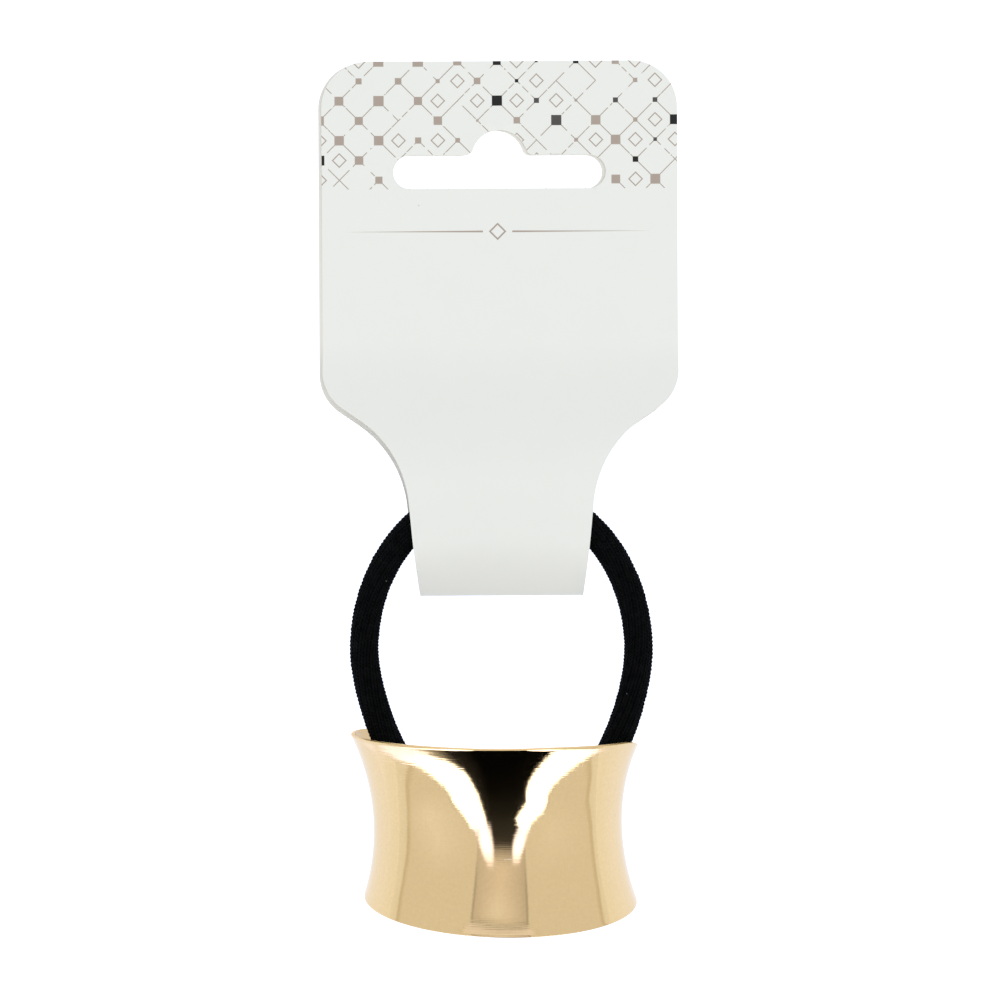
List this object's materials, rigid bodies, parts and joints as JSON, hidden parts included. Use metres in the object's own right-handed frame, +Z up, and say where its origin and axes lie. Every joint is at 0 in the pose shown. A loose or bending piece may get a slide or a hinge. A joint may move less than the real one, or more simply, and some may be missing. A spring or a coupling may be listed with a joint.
{
  "type": "hair tie on a card",
  "caption": "Black elastic hair tie with a flared gold metal cuff, looped through a folded white hanging card with a euro slot.",
  "frame": {"origin": "on the surface that the piece lies on, under the middle of its bounding box", "axes": "+Z up from that surface, through the front of the card and cuff; +Y from the cuff to the hanging slot; +X to the right, seen from above with the slot away from the viewer"},
  "size_m": [0.0542, 0.1254, 0.0234],
  "materials": {
    "card_stock": "smooth coated white card, semi-matt, with a printed header",
    "elastic_cover": "black knitted cover over rubber cores, matt",
    "gold_plate": "mirror-polished pale gold plating"
  },
  "bodies": {
    "root": {"card": "card_stock", "elastic": "elastic_cover", "cuff": "gold_plate"}
  },
  "joints": []
}
